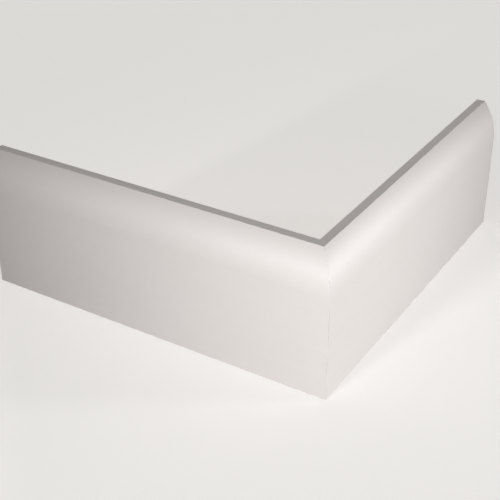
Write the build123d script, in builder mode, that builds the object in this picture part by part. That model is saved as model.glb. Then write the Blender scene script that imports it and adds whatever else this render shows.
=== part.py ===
"""MDF skirting board: two lengths of one moulded section, mitred to turn an outside wall corner.

The origin is the foot of the wall corner, where both back faces meet the floor, and +Z is up.
The left board runs along -X with its back to +Y. The right board runs along +Y with its back to -X.
"""

from build123d import *

import os
from math import radians, sqrt, tan

# Driving dimensions, in millimetres and degrees
BOARD_HEIGHT = 95.0
BOARD_THICKNESS = 16.0
TOP_LAND = 6.0  # width of the flat strip along the top, next to the wall
FACE_ROUND = 40.0  # radius that carries the plain face up to the top land
SANDED_ARRIS = 0.4  # radius that sanding leaves on the long arrises
LEFT_RUN = 250.0  # length of the face, from the tip of the mitre to the sawn end
RIGHT_RUN = 250.0
WALL_CORNER = 90.0  # angle of the wall that the boards turn round

# Sizes that follow from them
turn = 180.0 - WALL_CORNER
mitre_angle = turn / 2
mitre_overhang = BOARD_THICKNESS * tan(radians(mitre_angle))
round_depth = BOARD_THICKNESS - TOP_LAND
round_drop = sqrt(2 * FACE_ROUND * round_depth - round_depth**2)

# Planes across the boards at the wall corner: x is out from the wall and y is up
across_left = Plane(origin=(0, 0, 0), x_dir=(0, -1, 0), z_dir=(-1, 0, 0))
across_right = across_left.rotated((0, 0, turn))
mitre = across_left.rotated((0, 0, mitre_angle))

# The moulded section, which both boards share
with BuildSketch() as board_section:
    with BuildLine():
        foot = Line((0, 0), (BOARD_THICKNESS, 0))
        face = Line(foot @ 1, (BOARD_THICKNESS, BOARD_HEIGHT - round_drop))
        top_round = TangentArc(face @ 1, (TOP_LAND, BOARD_HEIGHT), tangent=face % 1)
        land = Line(top_round @ 1, (0, BOARD_HEIGHT))
        back = Line(land @ 1, foot @ 0)
    make_face()
    corners_by_height = board_section.vertices().group_by(Axis.Y)
    fillet(corners_by_height[0] + corners_by_height[-1], radius=SANDED_ARRIS)

# The left board, from the tip of its mitre out to its sawn end
with BuildPart() as left_board:
    with BuildSketch(across_left.offset(-mitre_overhang)):
        add(board_section.sketch)
    extrude(amount=LEFT_RUN)
    split(bisect_by=mitre, keep=Keep.TOP)

# The right board, from its sawn end in to the tip of its mitre
with BuildPart() as right_board:
    with BuildSketch(across_right.offset(mitre_overhang - RIGHT_RUN)):
        add(board_section.sketch)
    extrude(amount=RIGHT_RUN)
    split(bisect_by=mitre, keep=Keep.BOTTOM)

left_board.part.label = "left_board"
right_board.part.label = "right_board"

os.makedirs("parts", exist_ok=True)
export_step(left_board.part, "parts/left_board.step")
export_step(right_board.part, "parts/right_board.step")

for board in (left_board.part, right_board.part):
    box = board.bounding_box()
    print(board.label, "volume", round(board.volume), "from", box.min, "to", box.max)
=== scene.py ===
# %% [markdown]
# # White primed MDF skirting, mitred round an outside corner
#
# The object is two straight lengths of one moulding. Each has a plain upright face, a large soft round
# and a narrow flat land along the top, and a mitre joins them where the wall turns. A moulding machine
# sprays primer on what the room sees. The back, which goes against the wall, and the sawn ends stay bare.
#
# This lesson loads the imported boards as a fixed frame, sets the camera, sweeps one section along both
# boards, gives each surface its finish and lights the result. Everything is in metres in the frame of the
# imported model: the origin is the foot of the wall corner, where both backs meet the floor, and +Z is up.

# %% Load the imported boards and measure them
from math import asin, cos, degrees, radians, sin, sqrt

import bmesh
import bpy
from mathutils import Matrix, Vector


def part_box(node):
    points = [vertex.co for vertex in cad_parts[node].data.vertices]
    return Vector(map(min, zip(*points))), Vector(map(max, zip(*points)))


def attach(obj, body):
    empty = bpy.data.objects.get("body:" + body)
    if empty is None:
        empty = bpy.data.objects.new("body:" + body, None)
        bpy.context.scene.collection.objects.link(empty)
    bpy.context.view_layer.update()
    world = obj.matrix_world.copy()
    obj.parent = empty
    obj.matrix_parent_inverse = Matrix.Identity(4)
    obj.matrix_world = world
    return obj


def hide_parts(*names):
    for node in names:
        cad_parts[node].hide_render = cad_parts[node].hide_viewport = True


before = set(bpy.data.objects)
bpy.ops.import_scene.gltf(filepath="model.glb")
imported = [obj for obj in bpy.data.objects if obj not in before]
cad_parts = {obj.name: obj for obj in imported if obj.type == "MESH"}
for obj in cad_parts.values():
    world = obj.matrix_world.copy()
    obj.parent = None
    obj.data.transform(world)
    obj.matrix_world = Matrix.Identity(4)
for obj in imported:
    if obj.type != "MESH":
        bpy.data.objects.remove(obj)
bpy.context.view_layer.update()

left_low, left_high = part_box("left_board")
board_height = left_high.z
board_thickness = -left_low.y
sawn_end = -left_low.x  # how far the sawn ends stand from the wall corner
print("packed boards:", sorted(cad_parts))
print(f"{board_height * 1000:.1f} mm high, {board_thickness * 1000:.1f} mm thick")
print(f"{sawn_end * 1000:.1f} mm along the back, from the wall corner to the sawn end")

# %% [markdown]
# ## The camera
#
# The view comes first, because every later choice is judged through it. The straight edges of the boards
# in the photograph fix where the eye stands, which way it looks and how long its lens is. A camera can be
# aimed with a Track To constraint, but a plain direction turned into a rotation leaves nothing to work
# out later, so that is used here.

# %% Place the camera
PHOTO_WIDTH = 500  # pixels
FOCAL_LENGTH = 1072.1  # pixels, from the boards' own edges in the photograph
EYE = Vector((0.2356, -0.4557, 0.3892))
LOOKING_ROUND = 31.63  # degrees from straight along +Y, to the left
LOOKING_DOWN = 30.49  # degrees below level


def direction(turn, rise):
    """A unit vector that starts along +Y, turns left by turn degrees and rises by rise degrees."""
    level = cos(radians(rise))
    return Vector((-sin(radians(turn)) * level, cos(radians(turn)) * level, sin(radians(rise))))


scene = bpy.context.scene
scene.view_settings.view_transform = "Standard"
lens = bpy.data.cameras.new("camera")
lens.lens = lens.sensor_width * FOCAL_LENGTH / PHOTO_WIDTH
camera = bpy.data.objects.new("camera", lens)
camera.location = EYE
camera.rotation_euler = direction(LOOKING_ROUND, -LOOKING_DOWN).to_track_quat("-Z", "Y").to_euler()
scene.collection.objects.link(camera)
scene.camera = camera
print(f"camera with a {lens.lens:.1f} mm lens, {EYE.length:.2f} m from the wall corner")

# %% [markdown]
# ## The moulded section
#
# Both boards are the same outline pulled along a line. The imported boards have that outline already, but
# as broad facets. Here it is drawn again with finer steps, so that the light runs smoothly over the
# round. A point of the section is a pair: how far out from the wall it lies, and how high. Four small
# arcs are the arrises that sanding leaves, and one large arc is the round, so the whole outline is five
# calls of one helper.

# %% Draw the section
TOP_LAND = 0.006  # width of the flat strip along the top
FACE_ROUND = 0.040  # radius of the large round
SANDED_ARRIS = 0.0004  # radius of the sanded edges
ARRIS_STEPS = 5
ROUND_STEPS = 36


def arc(centre, radius, start, end, steps):
    """Points of an arc, from one angle to another, in degrees from straight out of the wall."""
    angles = [radians(start + (end - start) * i / steps) for i in range(steps + 1)]
    return [(centre[0] + radius * cos(a), centre[1] + radius * sin(a)) for a in angles]


def moulded_section():
    """The outline as (out, up) points, from the back of the foot round the face to the back of the top."""
    edge = SANDED_ARRIS
    round_depth = board_thickness - TOP_LAND
    round_drop = sqrt(2 * FACE_ROUND * round_depth - round_depth**2)
    spring = board_height - round_drop  # where the round leaves the face
    round_centre = (board_thickness - FACE_ROUND, spring)
    edge_rise = board_height - edge - spring
    edge_out = round_centre[0] + sqrt((FACE_ROUND - edge) ** 2 - edge_rise**2)
    round_end = degrees(asin(edge_rise / (FACE_ROUND - edge)))
    foot_back = arc((edge, edge), edge, 180, 270, ARRIS_STEPS)
    foot_front = arc((board_thickness - edge, edge), edge, 270, 360, ARRIS_STEPS)
    face_round = arc(round_centre, FACE_ROUND, 0, round_end, ROUND_STEPS)
    top_front = arc((edge_out, board_height - edge), edge, round_end, 90, ARRIS_STEPS)[1:]
    top_back = arc((edge, board_height - edge), edge, 90, 180, ARRIS_STEPS)
    return foot_back + foot_front + face_round + top_front + top_back


section = moulded_section()
print(f"section of {len(section)} points")

# %% [markdown]
# ## The two boards
#
# A Bevel object on a curve could sweep the section round the corner in one go, but then the mitre would
# be a fold in one skin. Real boards are two pieces with cut faces, so each is swept by itself as a stack
# of rings. The first ring lies on the mitre plane, where a point that is further out from the wall starts
# further back. A few close rings then turn the sharp edge of the mitre into the tiny round that fine
# paper leaves when the corner is dressed, and each board has half of it. The last ring lies on the square
# sawn end, where a narrow rim is the primer film seen from its edge, with bare board inside it.

# %% Plan the rings of a board
MITRE_ARRIS = 0.00015  # radius of the dressed edge
MITRE_TURN = 45  # degrees from the face to the mitre plane
MITRE_STEPS = 3
RING_GAP = 0.008  # about how far apart the rings stand along the board
PRIMER_FILM = 0.00018  # how thick the coat looks at the sawn end


def mitre_ring(turned):
    """The ring where the dressed edge has turned by so many degrees from the face."""
    ring = []
    for out, up in section:
        edge = min(MITRE_ARRIS, out)
        taken_off = edge * (1 - cos(radians(turned)))
        ring.append((out - taken_off, up, edge - out - edge * sin(radians(turned))))
    return ring


def inset(points, depth):
    """The closed outline moved inwards by depth."""
    moved = []
    for i, (out, up) in enumerate(points):
        before, after = points[i - 1], points[(i + 1) % len(points)]
        along = Vector((after[0] - before[0], after[1] - before[1])).normalized()
        moved.append((out - depth * along.y, up + depth * along.x))
    return moved


def board_rings():
    """Rings of (out, up, along) points, from the mitre to the sawn end and in to the bare board."""
    rings = [mitre_ring(MITRE_TURN * (1 - i / MITRE_STEPS)) for i in range(MITRE_STEPS + 1)]
    first = rings[-1]
    steps = round(sawn_end / RING_GAP)
    for i in range(1, steps + 1):
        rings.append([(out, up, along + (sawn_end - along) * i / steps) for out, up, along in first])
    rings.append([(out, up, sawn_end) for out, up in inset(section, PRIMER_FILM)])
    return rings


rings = board_rings()
print(f"{len(rings)} rings of {len(section)} points")

# %% [markdown]
# ### Faces that know their lengths
#
# Fibres and sanding marks run along whichever board they are on, so a finish has to know which way that
# is. Blender's Generated coordinates would stretch over the long board, and Object coordinates would turn
# the wrong way on one of the two. So each face gets a UV map that holds its own lengths in metres: along
# the board and round the section on the coat, along and up on the back, and out and up on the ends.

# %% Lay the faces between rings
LENGTH_MAP = "board_lengths"
PRIMED, BARE_BACK, SAWN = range(3)  # the order of a board's finishes


def girths(points):
    """How far round the outline each point lies from the first."""
    total = [0.0]
    for (out, up), (next_out, next_up) in zip(points, points[1:]):
        total.append(total[-1] + sqrt((next_out - out) ** 2 + (next_up - up) ** 2))
    return total


def lay_face(build, corners, finish, places):
    """One face with its finish and its places on the length map."""
    lengths = build.loops.layers.uv[LENGTH_MAP]
    made = build.faces.new(corners)
    made.material_index = finish
    made.smooth = True
    for loop, place in zip(made.loops, places):
        loop[lengths].uv = place


def lay_band(build, ring, next_ring, corners, next_corners):
    """The faces between one ring and the next, primed all round but for the back."""
    for j in range(len(section)):
        k = (j + 1) % len(section)
        four = [corners[j], corners[k], next_corners[k], next_corners[j]]
        spots = [ring[j], ring[k], next_ring[k], next_ring[j]]
        if k == 0:
            lay_face(build, four, BARE_BACK, [(along, up) for out, up, along in spots])
        else:
            round_it = (girth[j], girth[k], girth[k], girth[j])
            lay_face(build, four, PRIMED, [(spot[2], far) for spot, far in zip(spots, round_it)])


girth = girths(section)
print(f"{girth[-1] * 1000:.1f} mm of primer round the section")

# %% [markdown]
# ### Crisp edges on smooth boards
#
# The round is drawn with straight steps, so smooth shading has to hide them. Smooth shading alone would
# smear light round the cut edges too. So an edge that turns more than a step of an arc does is marked
# sharp, and the Weighted Normal modifier lets each broad face keep its own direction right up to the
# small arris beside it.

# %% Sweep both boards
SHARP_TURN = radians(30)
SAME_PLACE = 1e-7  # corners closer than this are one corner


def finished_board(name, build):
    """The mesh as an object in the scene, with its sharp edges marked."""
    bmesh.ops.remove_doubles(build, verts=build.verts, dist=SAME_PLACE)
    bmesh.ops.recalc_face_normals(build, faces=build.faces)
    for edge in build.edges:
        edge.smooth = edge.calc_face_angle(0.0) < SHARP_TURN
    mesh = bpy.data.meshes.new(name)
    build.to_mesh(mesh)
    build.free()
    board = bpy.data.objects.new(name, mesh)
    scene.collection.objects.link(board)
    level = board.modifiers.new("flat faces stay flat", "WEIGHTED_NORMAL")
    level.keep_sharp = True
    return board


def sweep_board(name, out_way, along_way):
    """A board as one closed mesh, with its back at the wall and its mitre at the corner."""
    build = bmesh.new()
    build.loops.layers.uv.new(LENGTH_MAP)
    stack = []
    for ring in rings:
        places = [out_way * out + along_way * along + Vector((0, 0, up)) for out, up, along in ring]
        stack.append([build.verts.new(place) for place in places])
    for i in range(len(rings) - 1):
        lay_band(build, rings[i], rings[i + 1], stack[i], stack[i + 1])
    for end in (0, -1):
        lay_face(build, stack[end], SAWN, [(out, up) for out, up, along in rings[end]])
    return finished_board(name, build)


left_skirting = sweep_board("left_skirting", Vector((0, -1, 0)), Vector((-1, 0, 0)))
right_skirting = sweep_board("right_skirting", Vector((1, 0, 0)), Vector((0, 1, 0)))
for board, node in ((left_skirting, "left_board"), (right_skirting, "right_board")):
    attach(board, "root")
    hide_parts(node)
    print(f"{board.name}: {len(board.data.polygons)} faces in place of {node}")

# %% [markdown]
# ## A small kit for finishes
#
# A finish in Blender is a graph of nodes. It can be drawn by hand in the Shader Editor, but then it lives
# in one file. In code, adding each node takes many lines, so a few short helpers do it: one adds a node
# and fills its inputs with values or links, one does sums, one takes a value from one span to another,
# and one mixes colours.

# %% Helpers for node graphs


def add(tree, kind, fill, **settings):
    """Adds a node, changes its settings, and fills its inputs with values or with links."""
    made = tree.nodes.new(kind)
    for name, value in settings.items():
        setattr(made, name, value)
    for name, value in fill.items():
        if isinstance(value, bpy.types.NodeSocket):
            tree.links.new(value, made.inputs[name])
        else:
            made.inputs[name].default_value = value
    return made


def sums(tree, operation, first, second):
    """The sum, product or other result of two numbers."""
    return add(tree, "ShaderNodeMath", {0: first, 1: second}, operation=operation).outputs[0]


def ramp(tree, value, span, to=(0.0, 1.0)):
    """Takes a value from one span into another, with soft ends."""
    fill = {"Value": value, "From Min": span[0], "From Max": span[1], "To Min": to[0], "To Max": to[1]}
    return add(tree, "ShaderNodeMapRange", fill, interpolation_type="SMOOTHSTEP").outputs["Result"]


def mixed(tree, share, first, second, way="MIX"):
    """A colour between two others, or another blend of them."""
    fill = {0: share, 6: first, 7: second}  # the sockets that a mix of colours uses
    return add(tree, "ShaderNodeMix", fill, data_type="RGBA", blend_type=way).outputs[2]


def new_finish(name):
    """A material with its node tree and its shader."""
    finish = bpy.data.materials.new(name)
    finish.use_nodes = True
    return finish, finish.node_tree, finish.node_tree.nodes["Principled BSDF"]


kit = (add, sums, ramp, mixed, new_finish)
print("kit:", [helper.__name__ for helper in kit])

# %% [markdown]
# ### Patterns of a real size
#
# The scale of a noise and the strength of a bump are often set by eye, until they look right from one
# distance. Here they are lengths instead: the noise reads the board's own lengths and is told how long
# and how wide its grains are, and the bump is told how deep each pattern goes, in metres as everything
# else is. So a fibre or a saw mark can be given the size that it has on a real board.

# %% Helpers for patterns and relief


def board_lengths(tree):
    """The board's own lengths in metres."""
    return add(tree, "ShaderNodeUVMap", {}, uv_map=LENGTH_MAP).outputs["UV"]


def noise(tree, lengths, grain, detail=2.0, turn=0):
    """Noise between 0 and 1, with grains of a length and width in metres, turned by so many degrees."""
    fill = {"Vector": lengths, "Angle": radians(turn)}
    turned = add(tree, "ShaderNodeVectorRotate", fill, rotation_type="Z_AXIS").outputs[0]
    fill = {0: turned, 1: (1 / grain[0], 1 / grain[1], 1)}
    stretched = add(tree, "ShaderNodeVectorMath", fill, operation="MULTIPLY").outputs[0]
    fill = {"Vector": stretched, "Scale": 1.0, "Detail": detail}
    return add(tree, "ShaderNodeTexNoise", fill).outputs["Fac"]


def raise_surface(tree, shader, reliefs):
    """Bumps the surface by patterns, each with the depth in metres that a value of 1 stands for."""
    height = 0.0
    for pattern, depth in reliefs:
        height = sums(tree, "ADD", height, sums(tree, "MULTIPLY", pattern, depth))
    bump = add(tree, "ShaderNodeBump", {"Height": height, "Strength": 1.0, "Distance": 1.0})
    tree.links.new(bump.outputs["Normal"], shader.inputs["Normal"])


pattern_kit = (board_lengths, noise, raise_surface)
print("kit for patterns:", [helper.__name__ for helper in pattern_kit])

# %% [markdown]
# ## The primer
#
# Factory primer is a thin sprayed coat with a satin shine. It is a warm white, a shade uneven where the
# spray passes overlap. Close to, it has the shallow dimples of a sprayed film and fine sanding lines
# along the board, and the cutters raise fibres on the round that show through as a faint grain. A paint
# of one flat colour would miss all of that. An image of paint would hold it, but would blur close to, so
# noise in the board's own lengths is used.

# %% Spray the primer
WARM_WHITE = (0.83, 0.785, 0.76, 1)
THIN_WHITE = (0.815, 0.77, 0.743, 1)  # where the coat is a little thinner
SPRAY_CLOUD = (0.070, 0.030)  # this and the next four are grains, in metres along and across
SPRAY_PASS = (0.200, 0.006)
SPRAY_DIMPLE = (0.0018, 0.0014)
SANDING_LINE = (0.0300, 0.0003)
RAISED_FIBRE = (0.0040, 0.0004)
PASS_SHARE = 0.6  # how much a spray pass counts beside a cloud
THIN_SPAN = (0.55, 1.05)  # where cloud and pass together turn the coat thin
MOST_NOISE = (0.3, 0.7)  # the span that holds most of a noise
SATIN = (0.48, 0.54)  # roughness
SATIN_LEVEL = 0.71  # strength of the shine, where Blender's own is 0.5
ROUND_LEAN = (0.02, 0.25)  # how far the surface looks up, from where grain starts to where it is full
DIMPLE_DEPTH = 0.000070
SANDING_DEPTH = 0.000013
FIBRE_DEPTH = 0.000035


def satin_primer():
    """Warm white that thins in clouds and passes, with dimples, sanding lines and raised fibre."""
    finish, tree, shader = new_finish("satin_primer")
    lengths = board_lengths(tree)
    clouds = noise(tree, lengths, SPRAY_CLOUD)
    passes = sums(tree, "MULTIPLY", noise(tree, lengths, SPRAY_PASS), PASS_SHARE)
    thin = ramp(tree, sums(tree, "ADD", clouds, passes), THIN_SPAN)
    tree.links.new(mixed(tree, thin, WARM_WHITE, THIN_WHITE), shader.inputs["Base Color"])
    tree.links.new(ramp(tree, clouds, MOST_NOISE, SATIN), shader.inputs["Roughness"])
    shader.inputs["Specular IOR Level"].default_value = SATIN_LEVEL
    normal = add(tree, "ShaderNodeNewGeometry", {}).outputs["Normal"]
    lean = add(tree, "ShaderNodeSeparateXYZ", {0: normal}).outputs["Z"]
    grain = sums(tree, "MULTIPLY", noise(tree, lengths, RAISED_FIBRE), ramp(tree, lean, ROUND_LEAN))
    dimples = noise(tree, lengths, SPRAY_DIMPLE, detail=1.0)
    lines = noise(tree, lengths, SANDING_LINE)
    raise_surface(tree, shader, [(dimples, DIMPLE_DEPTH), (lines, SANDING_DEPTH), (grain, FIBRE_DEPTH)])
    return finish


primer = satin_primer()
print("finish:", primer.name, "with", len(primer.node_tree.nodes), "nodes")

# %% [markdown]
# ## The colour of bare MDF
#
# MDF has no grain of its own: fibres as fine as hairs lie every way in a felt, with a few specks of bark.
# One stretched noise would look like wood, so several are laid over each other, each turned another way,
# and the palest of them wins. The back and the sawn ends share this felt and its colours, so both come
# from one pair of helpers.

# %% Helpers for the felt and its colour
BARE_TAN = (0.49, 0.335, 0.195, 1)
PALE_FIBRE = (0.63, 0.465, 0.295, 1)
DARK_FLECK = (0.20, 0.12, 0.062, 1)
FIBRE_SPAN = (0.50, 0.78)  # the part of a noise that stands for a fibre
CLOUD = (0.0120, 0.0090)  # this and the next two are grains, in metres along and across
MOTTLE = (0.0013, 0.0011)
BARK_FLECK = (0.0009, 0.0006)
BARK_TURN = 30  # degrees
MOTTLE_SPAN = (0.30, 0.75)
BARK_SPAN = (0.71, 0.77)  # so near the top of the noise that flecks are few
FIBRE_SHARE = 0.55  # how far a fibre, a cloud or a mottle goes from tan to pale
CLOUD_SHARE = 0.22
MOTTLE_SHARE = 0.45
BARK_SHARE = 0.75  # how far a fleck goes to dark


def felt(tree, lengths, ways, grain):
    """Crossing fibres between 0 and 1."""
    layers = [ramp(tree, noise(tree, lengths, grain, detail=1.0, turn=way), FIBRE_SPAN) for way in ways]
    top = layers[0]
    for layer in layers[1:]:
        top = sums(tree, "MAXIMUM", top, layer)
    return top


def fibre_colour(tree, lengths, fibres):
    """Tan, cloudy at the scale of a fingertip, with pale fibres and a few dark flecks."""
    clouds = ramp(tree, noise(tree, lengths, CLOUD, detail=4.0), MOST_NOISE, (0, CLOUD_SHARE))
    mottle = ramp(tree, noise(tree, lengths, MOTTLE, detail=3.0), MOTTLE_SPAN, (0, MOTTLE_SHARE))
    uneven = sums(tree, "ADD", clouds, mottle)
    paler = sums(tree, "ADD", uneven, sums(tree, "MULTIPLY", fibres, FIBRE_SHARE))
    flecks = ramp(tree, noise(tree, lengths, BARK_FLECK, turn=BARK_TURN), BARK_SPAN, (0, BARK_SHARE))
    return mixed(tree, flecks, mixed(tree, paler, BARE_TAN, PALE_FIBRE), DARK_FLECK)


print("bare MDF goes from", BARE_TAN[:3], "to", PALE_FIBRE[:3])

# %% [markdown]
# ## The back
#
# The back keeps the colour of the pressed fibre, because a wall hides it. Primer drifts round the long
# edges as it is sprayed and fades out over a few millimetres. That edge could be painted by hand with
# vertex colours, but it would be as coarse as the mesh, so the drift is a share worked out from the
# height on the board and made ragged by noise.

# %% Finish the back
FIBRE_WAYS = (8, 52, 97, 141)  # degrees
BACK_FIBRE = (0.0030, 0.00028)  # this and the next three are grains, in metres along and across
DRIFT_EDGE = (0.012, 0.006)
DRIFT_SPECKLE = (0.0009, 0.0009)
BELT_LINE = (0.0400, 0.0004)
DRIFT = 0.005  # how far the primer drifts on to the back
DRIFT_SPAN = (0.9 * DRIFT, 1.9 * DRIFT)  # from all primer to none, once noise has moved the edge
DRIFT_TO_BARE = (0.55, 0.85)  # roughness
FELT_DEPTH = 0.000050
BELT_DEPTH = 0.000030


def bare_back():
    """Bare fibre, with primer drifted over the two long edges."""
    finish, tree, shader = new_finish("bare_mdf_back")
    lengths = board_lengths(tree)
    fibres = felt(tree, lengths, FIBRE_WAYS, BACK_FIBRE)
    up = add(tree, "ShaderNodeSeparateXYZ", {0: lengths}).outputs["Y"]
    to_edge = sums(tree, "MINIMUM", up, sums(tree, "SUBTRACT", board_height, up))
    wander = noise(tree, lengths, DRIFT_EDGE, detail=5.0)
    ragged = sums(tree, "ADD", wander, noise(tree, lengths, DRIFT_SPECKLE))
    reach = sums(tree, "ADD", to_edge, sums(tree, "MULTIPLY", ragged, DRIFT))
    bare = ramp(tree, reach, DRIFT_SPAN)
    colour = mixed(tree, bare, WARM_WHITE, fibre_colour(tree, lengths, fibres))
    tree.links.new(colour, shader.inputs["Base Color"])
    tree.links.new(ramp(tree, bare, (0, 1), DRIFT_TO_BARE), shader.inputs["Roughness"])
    lines = noise(tree, lengths, BELT_LINE)
    raise_surface(tree, shader, [(fibres, FELT_DEPTH), (lines, BELT_DEPTH)])
    return finish


back = bare_back()
print("finish:", back.name, "with", len(back.node_tree.nodes), "nodes")

# %% [markdown]
# ## The sawn ends
#
# A saw leaves the ends matt and darker than the back, because the cut fibres stand open. The fibres lie
# flat in the sheet, so on the cut they show as short upright strokes. The sheet is pressed hardest at its
# two faces, so the cut is dense and dark beside them and paler and more open in the middle. The blade
# leaves faint arcs. A Wave texture gives rings too, but round the map's own centre. On the ends the map
# holds out and up, so here the bands follow the first, and the arcs come from the distance to where the
# blade's centre was.

# %% Finish the sawn ends
STROKE_WAYS = (84, 90, 97)  # degrees
STROKE = (0.0016, 0.00022)  # this and the next are grains, in metres along and across
BLADE_WAVER = (0.004, 0.004)
OPEN_CUT = (0.74, 0.68, 0.60, 1)  # what the open cut leaves of the tan
PRESSED_TAN = (0.21, 0.13, 0.068, 1)
PRESSED_BAND = 0.0034  # how deep the dense skin of the sheet goes
PRESSED_SHARE = 0.60  # how dense it looks at the very face
SAWN_ROUGH = 0.9
BLADE_CENTRE = (-0.060, -0.080, 0.0)
TOOTH_GAP = 0.0011  # how far apart the blade's marks are
WHOLE_TURN = radians(360)
STROKE_DEPTH = 0.000120
TOOTH_DEPTH = 0.000030


def blade_arcs(tree, lengths):
    """Waves between -1 and 1 round the centre of the blade, a little uneven."""
    from_blade = add(tree, "ShaderNodeVectorMath", {0: lengths, 1: BLADE_CENTRE}, operation="DISTANCE")
    turns = sums(tree, "MULTIPLY", from_blade.outputs["Value"], WHOLE_TURN / TOOTH_GAP)
    waver = sums(tree, "MULTIPLY", noise(tree, lengths, BLADE_WAVER), WHOLE_TURN)
    return add(tree, "ShaderNodeMath", {0: sums(tree, "ADD", turns, waver)}, operation="SINE").outputs[0]


def sawn_mdf():
    """Open fibre between two dense skins, with the arcs of the blade."""
    finish, tree, shader = new_finish("sawn_mdf")
    lengths = board_lengths(tree)
    strokes = felt(tree, lengths, STROKE_WAYS, STROKE)
    cut = mixed(tree, 1.0, fibre_colour(tree, lengths, strokes), OPEN_CUT, way="MULTIPLY")
    out = add(tree, "ShaderNodeSeparateXYZ", {0: lengths}).outputs["X"]
    to_skin = sums(tree, "MINIMUM", out, sums(tree, "SUBTRACT", board_thickness, out))
    pressed = ramp(tree, to_skin, (0, PRESSED_BAND), (PRESSED_SHARE, 0))
    tree.links.new(mixed(tree, pressed, cut, PRESSED_TAN), shader.inputs["Base Color"])
    shader.inputs["Roughness"].default_value = SAWN_ROUGH
    raise_surface(tree, shader, [(strokes, STROKE_DEPTH), (blade_arcs(tree, lengths), TOOTH_DEPTH)])
    return finish


sawn = sawn_mdf()
for board in (left_skirting, right_skirting):
    for finish in (primer, back, sawn):
        board.data.materials.append(finish)
print("finishes on each board:", [finish.name for finish in left_skirting.data.materials])

# %% [markdown]
# ## The floor
#
# The floor is a plain pale sheet, wide enough that its edge never shows, and only a stage. Turning the
# lamps up until it looks white would burn out the primer, so it is lifted for the eye alone: the Light
# Path node tells a ray from the camera, or one mirrored by a shiny surface, from light that bounces on to
# the boards. For that light the floor is dim, as a studio's ground is. It keeps part of its own shading,
# so the boards still throw a shadow on it.

# %% Lay the floor
FLOOR_SIDE = 12.0
FLOOR_SEEN = (0.565, 0.55, 0.535, 1)  # colour for the eye
FLOOR_BOUNCE = (0.10, 0.098, 0.095, 1)  # colour for the light that it throws back on the boards
PALE_LIFT = (1.0, 0.98, 0.957, 1)
FLOOR_LIFT = 0.58


def seen_rays(tree):
    """1 for a ray that is seen straight, mirrored or through glass, and 0 for light that bounces about."""
    path = add(tree, "ShaderNodeLightPath", {}).outputs
    mirrored = sums(tree, "MAXIMUM", path["Is Glossy Ray"], path["Is Transmission Ray"])
    return sums(tree, "MAXIMUM", path["Is Camera Ray"], mirrored)


def pale_floor():
    """A flat sheet that looks pale and throws little light back."""
    mesh = bpy.data.meshes.new("floor")
    half = FLOOR_SIDE / 2
    corners = [(-half, -half, 0), (half, -half, 0), (half, half, 0), (-half, half, 0)]
    mesh.from_pydata(corners, [], [(0, 1, 2, 3)])
    finish, tree, shader = new_finish("pale_floor")
    seen = seen_rays(tree)
    tree.links.new(mixed(tree, seen, FLOOR_BOUNCE, FLOOR_SEEN), shader.inputs["Base Color"])
    shader.inputs["Roughness"].default_value = 1.0
    shader.inputs["Emission Color"].default_value = PALE_LIFT
    tree.links.new(sums(tree, "MULTIPLY", seen, FLOOR_LIFT), shader.inputs["Emission Strength"])
    mesh.materials.append(finish)
    floor = bpy.data.objects.new("floor", mesh)
    scene.collection.objects.link(floor)


pale_floor()
print(f"floor {FLOOR_SIDE:.0f} m across")

# %% [markdown]
# ## The sky
#
# The world round the scene is one even colour. It does two jobs that need two levels: behind the floor it
# is a pale background, and as light it fills the shadows and sets how grey the flat top of the boards
# looks. A picture of a studio would light them less evenly, and a sky as bright as the background would
# wash the round out. So the Light Path helper of the floor chooses between the two levels here as well.

# %% Hang the sky
SKY_SEEN = 0.68
SKY_LEVEL = 0.131


def pale_sky():
    """A plain background that looks pale and lights dimly."""
    sky = bpy.data.worlds.new("sky")
    sky.use_nodes = True
    tree = sky.node_tree
    background = tree.nodes["Background"]
    background.inputs["Color"].default_value = PALE_LIFT
    fill = {"Value": seen_rays(tree), "To Min": SKY_LEVEL, "To Max": SKY_SEEN}
    level = add(tree, "ShaderNodeMapRange", fill).outputs["Result"]
    tree.links.new(level, background.inputs["Strength"])
    scene.world = sky


pale_sky()
print(f"sky of {SKY_LEVEL} for the boards and {SKY_SEEN} for the eye")

# %% [markdown]
# ## The lamps
#
# Three square soft boxes with honeycombs in front stand round the corner. A honeycomb narrows the cone of
# light, as the Spread of an area lamp does here, so each front box can be aimed a little past the corner:
# the board is brightest there and fades along its length, and the round catches a broad satin band. The
# third box stands low behind, so that the bare backs show their fibre. All three could stand closer by,
# with wider cones, but then the pools of light at their feet would show on the floor from other sides.

# %% Set the lamps
FRONT_DISTANCE = 3.2
FRONT_SIDE = 0.44
HONEYCOMB = 16.5  # degrees across the cone of light


def soft_box(name, aim, round_by, rise, watts, distance=FRONT_DISTANCE, side=FRONT_SIDE, cone=HONEYCOMB):
    """A square lamp that looks at its aim, from so many degrees round from -Y towards +X."""
    data = bpy.data.lights.new(name, "AREA")
    data.size = side
    data.energy = watts
    data.spread = radians(cone)
    lamp = bpy.data.objects.new(name, data)
    looking = direction(round_by, -rise)
    lamp.location = Vector(aim) - looking * distance
    lamp.rotation_euler = looking.to_track_quat("-Z", "Y").to_euler()
    lamp.visible_camera = False
    scene.collection.objects.link(lamp)
    print(f"{name}: {watts} W at", [round(x, 2) for x in lamp.location])
    return lamp


soft_box("left_box", aim=(0.138, 0.20, 0.05), round_by=-10.2, rise=10, watts=0.94)
soft_box("right_box", aim=(-0.155, -0.166, 0.05), round_by=123, rise=3.5, watts=0.98)
back_box = soft_box(
    "back_box",
    aim=(-0.10, 0.10, 0.05),
    round_by=225,
    rise=4.7,
    watts=2.5,
    distance=4.4,
    side=0.80,
    cone=20.6,
)
back_box.visible_glossy = False
